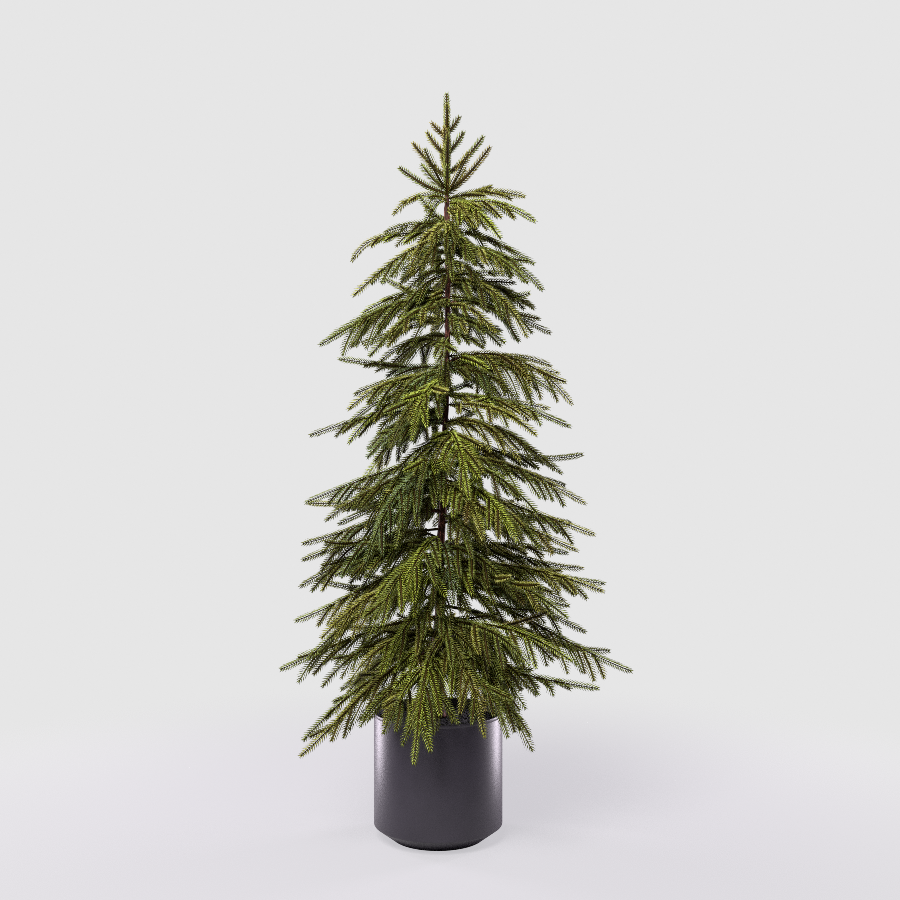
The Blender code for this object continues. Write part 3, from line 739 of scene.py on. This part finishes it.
def filling_fronds(rng):
    """The fronds of all fillings, but for those that would cover the sky."""
    fronds = []
    for filling in FILLINGS:
        low, high = filling.azimuths
        for i, height in enumerate(np.arange(*filling.heights, filling.pitch)):
            turned = i * filling.turn + rng.uniform(-filling.scatter, filling.scatter)
            azimuth = low + turned % (high - low)
            fronds.append(filling_frond(height, azimuth, filling.share, rng))
    return [frond for frond in fronds if not is_open(frond.root)]


def own_dice(limb):
    """Random numbers that a change to another frond leaves as they are."""
    return random.Random(f"{SEED} {limb.name}")


def grow_leader(rng):
    """The top of the trunk and the upturned tips round it."""
    axis, radii = trunk_along(np.linspace(LEADER_BASE, LEADER_TOP, LEADER_POINTS))
    stems = [Stem(axis, radii, 0.0, "mid")]
    radii = np.linspace(*(share * TWIG_RADIUS for share in TIP_TAPER), TIP_POINTS)
    for tip in LEADER_TIPS:
        slope = math.degrees(math.atan2(tip.tip - tip.root, tip.reach))
        slopes = [slope + bend for bend in TIP_BEND]
        controls = span_controls(tip, TIP_HANDLE, slopes)
        points = bezier(controls, np.linspace(0, 1, TIP_POINTS))
        stems.append(Stem(points, radii, TIP_BARE, rng.choice(TIP_TONES)))
    return stems


def grow_crown(rng):
    """All stems that carry needles."""
    stems = []
    for limb in LIMBS:
        stems += grow_limb(limb, 1.0, own_dice(limb))
    for sprig in (*SPRIGS, *filling_fronds(rng)):
        stems += grow_limb(sprig, SPRIG_THICKNESS, own_dice(sprig))
    return stems + grow_leader(rng)


# --- meshes

def bulk_mesh(name, vertices, triangles):
    """A mesh made at once from arrays of vertices and triangles."""
    mesh = bpy.data.meshes.new(name)
    mesh.vertices.add(len(vertices))
    mesh.vertices.foreach_set("co", np.asarray(vertices, np.float32).ravel())
    mesh.loops.add(3 * len(triangles))
    mesh.loops.foreach_set("vertex_index", np.asarray(triangles, np.int32).ravel())
    mesh.polygons.add(len(triangles))
    mesh.polygons.foreach_set("loop_start", np.arange(0, 3 * len(triangles), 3, dtype=np.int32))
    mesh.update(calc_edges=True)
    mesh.validate()
    return mesh


def add_object(name, data):
    obj = bpy.data.objects.new(name, data)
    bpy.context.scene.collection.objects.link(obj)
    return obj


def add_piece(name, mesh, material, slot_name, *nodes):
    """A piece of the plant: shown, riding on the root body, in place of the CAD nodes."""
    obj = add_object(name, mesh)
    mesh.materials.append(material)
    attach(obj, "root")
    if nodes:
        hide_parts(*nodes)
    return obj


def joined(parts):
    """Several (vertices, triangles) as one."""
    vertices, triangles, offset = [], [], 0
    for points, faces in parts:
        vertices.append(points)
        triangles.append(faces + offset)
        offset += len(points)
    return np.vstack(vertices), np.vstack(triangles)


def angles_round(sides):
    return np.arange(sides) * math.tau / sides


def spokes_round(points, sides):
    """Directions from each point of a line to the sides of a tube round it."""
    _, across, over = frames_along(points)
    angles = angles_round(sides)
    return (np.cos(angles)[None, :, None] * across[:, None, :]
            + np.sin(angles)[None, :, None] * over[:, None, :])


def bands(rings, sides):
    """Triangles between rings of vertices that follow one another."""
    triangles = []
    for i in range(rings - 1):
        for j in range(sides):
            a = i * sides + j
            b = i * sides + (j + 1) % sides
            triangles.append((a, b, b + sides))
            triangles.append((a, b + sides, a + sides))
    return triangles


def closed_skin(rings, sides):
    """Triangles over rings of vertices, closed by the two vertices after them."""
    triangles = bands(rings, sides)
    foot = rings * sides
    last = foot - sides
    for j in range(sides):
        k = (j + 1) % sides
        triangles.append((k, j, foot))
        triangles.append((last + j, last + k, foot + 1))
    return np.array(triangles)


def tube(points, radii, sides):
    """Vertices and triangles of a tapering tube that closes to a point at its end."""
    rings = points[:, None, :] + radii[:, None, None] * spokes_round(points, sides)
    end = points[-1] + radii[-1] * frames_along(points)[0][-1]
    vertices = np.vstack((rings.reshape(-1, 3), end[None]))
    last = (len(points) - 1) * sides
    closing = [(last + j, last + (j + 1) % sides, last + sides) for j in range(sides)]
    return vertices, np.array(bands(len(points), sides) + closing)


def lathe(profile, sides):
    """Vertices and triangles of a profile turned about Z; both its ends lie on the axis."""
    angles = angles_round(sides)
    rings = [(radius * np.cos(angles), radius * np.sin(angles), np.full(sides, height))
             for radius, height in profile[1:-1]]
    vertices = np.concatenate([np.stack(ring, axis=1) for ring in rings])
    ends = np.array([(0, 0, profile[0][1]), (0, 0, profile[-1][1])])
    return np.vstack((vertices, ends)), closed_skin(len(rings), sides)[:, (0, 2, 1)]


# --- needles and twigs

def sampled(stations, run, vectors):
    """Vectors given along a line, at other places along it."""
    return np.stack([np.interp(stations, run, vectors[:, i]) for i in range(3)], axis=1)


def needles_at(places, radii, axes, angle, sizes, splay, rng):
    """The needles that stand at one angle round a stem, one to a whorl."""
    along, across, over = axes
    count = len(places)
    angles = angle + rng.normal(0, ANGLE_SPREAD, count)
    outward = np.cos(angles)[:, None] * across + np.sin(angles)[:, None] * over
    beside = np.cross(along, outward)
    splay = splay * (1 + rng.normal(0, SPLAY_SPREAD, count))
    foot, end = (np.radians(degrees) * splay for degrees in NEEDLE_SPLAY)
    lengths = sizes * (1 + rng.normal(0, LENGTH_SPREAD, count))
    base = places + NEEDLE_SINK * radii[:, None] * outward
    rising = np.cos(foot)[:, None] * along + np.sin(foot)[:, None] * outward
    reaching = np.cos(end)[:, None] * along + np.sin(end)[:, None] * outward
    belly = base + (NEEDLE_BELLY * lengths)[:, None] * rising
    tip = base + lengths[:, None] * reaching
    keel = np.cross(rising, beside)
    wide = NEEDLE_RADIUS * BELLY_WIDE * beside
    deep = NEEDLE_RADIUS * BELLY_DEEP * keel
    corners = (base, belly + wide - deep, belly - wide - deep, belly + NEEDLE_RADIUS * keel, tip)
    return np.stack(corners, axis=1)


def needles_on(stem, rng):
    """Vertices of every needle on a stem."""
    run = run_along(stem.points)
    length = run[-1]
    bare = stem.bare * length
    stations = np.arange(bare + rng.uniform(0, WHORL_PITCH), length, WHORL_PITCH)
    places = sampled(stations, run, stem.points)
    radii = np.interp(stations, run, stem.radii)
    axes = [unit(sampled(stations, run, vectors)) for vectors in frames_along(stem.points)]
    ending = np.clip((length - stations) / TWIG_END, 0, 1)
    starting = np.clip((stations - bare) / TWIG_END, 0, 1)
    sizes = NEEDLE_LENGTH * eased(LAST_NEEDLES, ending) * eased(FIRST_NEEDLES, starting)
    splay = eased(LAST_SPLAY, ending)
    turn = rng.normal(0, TURN_SPREAD)
    needles = [needles_at(places, radii, axes, turn + math.radians(angle), sizes, splay, rng)
               for angle in WHORL_ANGLES]
    return np.concatenate(needles).reshape(-1, 3)


def make_needles(stems, materials, rng):
    """Needles of all stems, joined by tone into pieces of limited size."""
    pieces = []
    limit = MOST_TRIANGLES // len(NEEDLE_FACES)
    for tone in TONE_COLOURS:
        vertices = np.concatenate([needles_on(stem, rng) for stem in stems if stem.tone == tone])
        count = len(vertices) // NEEDLE_CORNERS
        parts = math.ceil(count / limit)
        for i in range(parts):
            low = i * count // parts
            high = (i + 1) * count // parts
            firsts = NEEDLE_CORNERS * np.arange(high - low)
            faces = (NEEDLE_FACES[None] + firsts[:, None, None]).reshape(-1, 3)
            points = vertices[NEEDLE_CORNERS * low:NEEDLE_CORNERS * high]
            name = f"needles_{tone}_{i + 1}"
            mesh = bulk_mesh(name, points, faces)
            pieces.append(add_piece(name, mesh, materials[tone], "foliage"))
    return pieces


def make_twigs(stems, material):
    """The spines and twigs themselves."""
    parts = [tube(stem.points, stem.radii, TWIG_SIDES) for stem in stems]
    add_piece("twigs", bulk_mesh("twigs", *joined(parts)), material, "foliage")


# --- trunk and boughs

def bark_limb(points, radii, sides, ridges):
    """A limb with lengthwise ridges and scales in its surface."""
    sizes = np.empty((len(points), sides))
    run = run_along(points)
    for i, radius in enumerate(radii):
        for j, angle in enumerate(angles_round(sides)):
            place = Vector((math.cos(angle) * ridges, math.sin(angle) * ridges,
                            run[i] * CELLS_PER_METRE))
            furrow = FURROW_DEPTH * 2 * abs(noise.noise(place)) - FURROW_MIDDLE
            scale = SCALE_DEPTH * noise.noise(place * SCALE_FINENESS)
            sizes[i, j] = radius * (1 + RELIEF * (furrow + scale))
    surface = points[:, None, :] + sizes[:, :, None] * spokes_round(points, sides)
    vertices = np.vstack((surface.reshape(-1, 3), points[0][None], points[-1][None]))
    return vertices, closed_skin(len(points), sides)


def bough_bark(limb):
    """The bare foot of a bough."""
    _, trunk_radius = trunk_at(limb.root)
    shares = np.linspace(0, bare_share(limb) + BARK_OVERLAP, BOUGH_RINGS)
    points = bezier(limb_controls(limb), shares)
    radii = LIMB_RADIUS_TO_TRUNK * trunk_radius * (BOUGH_TAPER[0] - BOUGH_TAPER[1] * shares)
    return bark_limb(points, radii, BOUGH_SIDES, BOUGH_RIDGES)


def make_bark(material):
    """Trunk and bare boughs with the relief of bark."""
    heights = np.arange(TRUNK[0].height, BARK_ENDS[1], TRUNK_PITCH)
    axis, radii = trunk_along(heights)
    radii = np.maximum(radii, np.interp(heights, BARK_ENDS, LEAST_BARK))
    mesh = bulk_mesh("trunk_bark", *bark_limb(axis, radii, TRUNK_SIDES, TRUNK_RIDGES))
    add_piece("trunk_bark", mesh, material, "bark", "trunk")
    mesh = bulk_mesh("bough_bark", *joined([bough_bark(limb) for limb in LIMBS]))
    boughs = [f"bough_{limb.name}" for limb in LIMBS]
    add_piece("bough_bark", mesh, material, "bark", *boughs)


# --- pot and filling

def arc(centre, radius, from_angle, to_angle, steps):
    """Points of an arc in (radius, height), angles in degrees."""
    angles = np.radians(np.linspace(from_angle, to_angle, steps))
    return [(centre[0] + radius * math.cos(a), centre[1] + radius * math.sin(a)) for a in angles]


def make_pot(material):
    """The turned pot, with its rounded lip, fine groove and chamfered foot."""
    inner = POT_RADIUS - POT_WALL
    lip = POT_WALL / 2
    above, middle, below = (POT_HEIGHT - drop for drop in GROOVE_DROPS)
    shoulder = (POT_RADIUS - SHOULDER_ROUND, FOOT_HEIGHT + SHOULDER_LIFT)
    foot = (FOOT_RADIUS - FOOT_INSET, FOOT_ROUND)
    profile = [
        (0, FLOOR_THICKNESS),
        (FOOT_RADIUS - POT_WALL, FLOOR_THICKNESS),
        (inner, FOOT_HEIGHT + FLOOR_THICKNESS),
        *arc((inner + lip, POT_HEIGHT - lip), lip, 180, 0, LIP_STEPS),
        (POT_RADIUS, above),
        (POT_RADIUS - GROOVE_DEPTH, middle),
        (POT_RADIUS, below),
        *arc(shoulder, SHOULDER_ROUND, 0, CHAMFER_FACING, EDGE_STEPS),
        *arc(foot, FOOT_ROUND, CHAMFER_FACING, -90, EDGE_STEPS),
        (0, 0),
    ]
    mesh = bulk_mesh("pot_shell", *lathe(profile[::-1], POT_SIDES))
    add_piece("pot_shell", mesh, material, "pot_plastic", "pot")


def make_filling(material, rng):
    """A bed of dark grit, with loose grains on top of it."""
    wall = POT_RADIUS - POT_WALL - BED_GAP
    top = FILLING_TOP - BED_SINK
    bottom = FILLING_TOP - BED_BOTTOM
    slope = wall - FILLING_FLAT_RADIUS
    profile = [
        (0, bottom),
        (wall, bottom),
        (wall, FILLING_TOP - FILLING_EDGE_DROP - BED_SINK),
        (FILLING_FLAT_RADIUS, top),
        (0, top),
    ]
    parts = [lathe(profile, BED_SIDES)]
    for _ in range(GRAINS):
        radius = wall * math.sqrt(rng.random()) * GRAIN_REACH
        angle = rng.uniform(0, math.tau)
        size = rng.uniform(*GRAIN_SIZES)
        drop = FILLING_EDGE_DROP * max(0.0, radius - FILLING_FLAT_RADIUS) / slope
        height = top - drop + rng.uniform(*GRAIN_LIFTS) * size
        place = (radius * math.cos(angle), radius * math.sin(angle), height)
        parts.append(grain(place, size, rng))
    mesh = bulk_mesh("filling_bed", *joined(parts))
    add_piece("filling_bed", mesh, material, "filling_grit", "filling")


def grain(place, size, rng):
    """A rough grain: an octahedron with its corners pulled about."""
    pulls = [rng.uniform(*GRAIN_CORNERS) for _ in OCTAHEDRON]
    corners = np.array(OCTAHEDRON, float) * (size * np.array(pulls)[:, None])
    turn = rng.uniform(0, math.tau)
    cos, sin = math.cos(turn), math.sin(turn)
    lean = rng.uniform(-GRAIN_LEAN, GRAIN_LEAN)
    x = cos * corners[:, 0] - sin * corners[:, 1] + lean * corners[:, 2]
    y = sin * corners[:, 0] + cos * corners[:, 1]
    points = np.stack((x, y, corners[:, 2]), axis=1) + np.array(place)
    return points, np.array(OCTAHEDRON_FACES)


# --- materials

def set_inputs(node, inputs):
    """Gives inputs of a node their values, or links them to other nodes' outputs."""
    for name, value in inputs.items():
        if isinstance(value, bpy.types.NodeSocket):
            node.id_data.links.new(value, node.inputs[name])
        else:
            node.inputs[name].default_value = value


def add_node(tree, kind, inputs=None):
    node = tree.nodes.new(f"ShaderNode{kind}")
    set_inputs(node, inputs or {})
    return node


def add_noise(tree, look):
    """The value of a noise texture in object space, in metres."""
    place = add_node(tree, "TexCoord").outputs["Object"]
    mapping = add_node(tree, "Mapping", {"Vector": place, "Scale": look.stretch})
    return add_node(tree, "TexNoise", {
        "Vector": mapping.outputs["Vector"],
        "Scale": look.scale,
        "Detail": look.detail,
        "Roughness": look.roughness,
    }).outputs["Fac"]


def add_ramp(tree, factor, stops):
    """The colour of a ramp over (place, colour) stops."""
    ramp = add_node(tree, "ValToRGB", {"Fac": factor})
    elements = ramp.color_ramp.elements
    while len(elements) < len(stops):
        elements.new(0.5)
    for element, (place, colour) in zip(elements, stops):
        element.position = place
        element.color = (*colour, 1)
    return ramp.outputs["Color"]


def new_material(name, surface):
    """A material with the look of a surface."""
    material = bpy.data.materials.new(name)
    material.use_nodes = True
    tree = material.node_tree
    shader = tree.nodes["Principled BSDF"]
    set_inputs(shader, {
        "Base Color": add_ramp(tree, add_noise(tree, surface.patches), surface.stops),
        "Roughness": surface.roughness,
        "Specular IOR Level": surface.specular,
    })
    if surface.grain:
        bump = add_node(tree, "Bump", {
            "Height": add_noise(tree, surface.grain),
            "Strength": surface.bump_strength,
            "Distance": surface.bump_distance,
        })
        set_inputs(shader, {"Normal": bump.outputs["Normal"]})
    return material


def shaded(colour, factors):
    return tuple(channel * factor for channel, factor in zip(colour, factors))


def needle_material(tone):
    """Soft moulded plastic, uneven in colour from needle to needle: partly its own tone, partly
    painted shade on the darkest needles and painted highlight on the lightest.
    """
    colour = TONE_COLOURS[tone]
    colours = (shaded(colour, DARKEST_AS_PAINTED_SHADE), colour, shaded(colour, LIGHTEST_AS_PAINTED_HIGHLIGHT))
    stops = tuple(zip(TONE_PLACES, colours))
    surface = Surface(stops, Noise(190, 2.0), roughness=0.5, specular=0.05)
    return new_material(f"needle_{tone}", surface)


# --- studio

def add_mix(tree, share, first, second):
    """Two shaders mixed, the second by a share."""
    return add_node(tree, "MixShader", {"Fac": share, 1: first, 2: second}).outputs["Shader"]


def floor_material():
    """Pale and matt, partly evenly bright to the camera, and clear far out."""
    material = bpy.data.materials.new("floor_pale")
    material.use_nodes = True
    tree = material.node_tree
    tree.nodes.clear()
    place = add_node(tree, "TexCoord").outputs["Object"]
    distance = add_node(tree, "VectorMath", {0: place})
    distance.operation = "LENGTH"
    near, far = FLOOR_FADES
    fade = add_node(tree, "MapRange", {"From Min": near, "From Max": far})
    fade.interpolation_type = "SMOOTHSTEP"
    set_inputs(fade, {"Value": distance.outputs["Value"]})
    by_camera = add_node(tree, "LightPath").outputs["Is Camera Ray"]
    share = add_node(tree, "Math", {0: by_camera, 1: FLOOR_GLOW_SHARE})
    share.operation = "MULTIPLY"
    diffuse = add_node(tree, "BsdfDiffuse", {"Color": (*FLOOR_COLOUR, 1)}).outputs["BSDF"]
    glow = add_node(tree, "Emission", {"Color": (*FLOOR_GLOW, 1)}).outputs["Emission"]
    clear = add_node(tree, "BsdfTransparent").outputs["BSDF"]
    lit = add_mix(tree, share.outputs["Value"], diffuse, glow)
    blend = add_mix(tree, fade.outputs["Result"], lit, clear)
    add_node(tree, "OutputMaterial", {"Surface": blend})
    return material


def make_floor():
    """A pale floor that fades into the background all round."""
    mesh = bpy.data.meshes.new("floor")
    ring = [(FLOOR_RADIUS * math.cos(a), FLOOR_RADIUS * math.sin(a), 0)
            for a in angles_round(FLOOR_SIDES)]
    mesh.from_pydata(ring, [], [tuple(range(FLOOR_SIDES))])
    floor = add_object("floor", mesh)
    mesh.materials.append(floor_material())


def make_world():
    """The studio: one grey for the camera, one for reflections and one for light."""
    world = bpy.data.worlds.new("studio")
    world.use_nodes = True
    tree = world.node_tree
    seen = tree.nodes["Background"]
    set_inputs(seen, {"Color": (*BACKGROUND, 1)})
    ambient, mirrored = (
        add_node(tree, "Background", {"Color": (*colour, 1)}).outputs["Background"]
        for colour in (AMBIENT, MIRRORED)
    )
    path = add_node(tree, "LightPath")
    unseen = add_mix(tree, path.outputs["Is Glossy Ray"], ambient, mirrored)
    mix = add_mix(tree, path.outputs["Is Camera Ray"], unseen, seen.outputs["Background"])
    set_inputs(tree.nodes["World Output"], {"Surface": mix})
    bpy.context.scene.world = world


def add_area_light(look):
    light = bpy.data.lights.new(look.name, "AREA")
    light.shape = "RECTANGLE"
    light.size = look.width
    light.size_y = look.height
    light.energy = look.power
    light.color = look.colour
    obj = add_object(look.name, light)
    obj.location = look.place
    aim = Vector(look.target) - Vector(look.place)
    obj.rotation_euler = aim.to_track_quat("-Z", "Y").to_euler()


def make_camera():
    camera = add_object("camera", bpy.data.cameras.new("camera"))
    camera.location = CAMERA_PLACE
    camera.rotation_euler = (math.radians(CAMERA_TILT), 0, 0)
    camera.data.sensor_width = SENSOR
    camera.data.lens = CAMERA_LENS
    bpy.context.scene.camera = camera


def make_studio():
    """World, floor, lamps and camera, and a plain crisp picture."""
    make_world()
    make_floor()
    for look in LIGHTS:
        add_area_light(look)
    make_camera()
    scene = bpy.context.scene
    scene.view_settings.view_transform = "Standard"
    scene.cycles.use_denoising = False
    scene.cycles.filter_width = PIXEL_FILTER


def main():
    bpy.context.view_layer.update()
    rng = random.Random(SEED)
    make_studio()
    make_pot(new_material("pot_plastic", POT_SURFACE))
    make_filling(new_material("filling_grit", GRIT_SURFACE), rng)
    make_bark(new_material("bark", BARK_SURFACE))
    stems = grow_crown(rng)
    make_twigs(stems, new_material("twig_green", TWIG_SURFACE))
    materials = {tone: needle_material(tone) for tone in TONE_COLOURS}
    needles = make_needles(stems, materials, np.random.default_rng(SEED))
    masses = ["mass_leader"] + [f"mass_{limb.name}" for limb in LIMBS]
    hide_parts(*masses)


main()
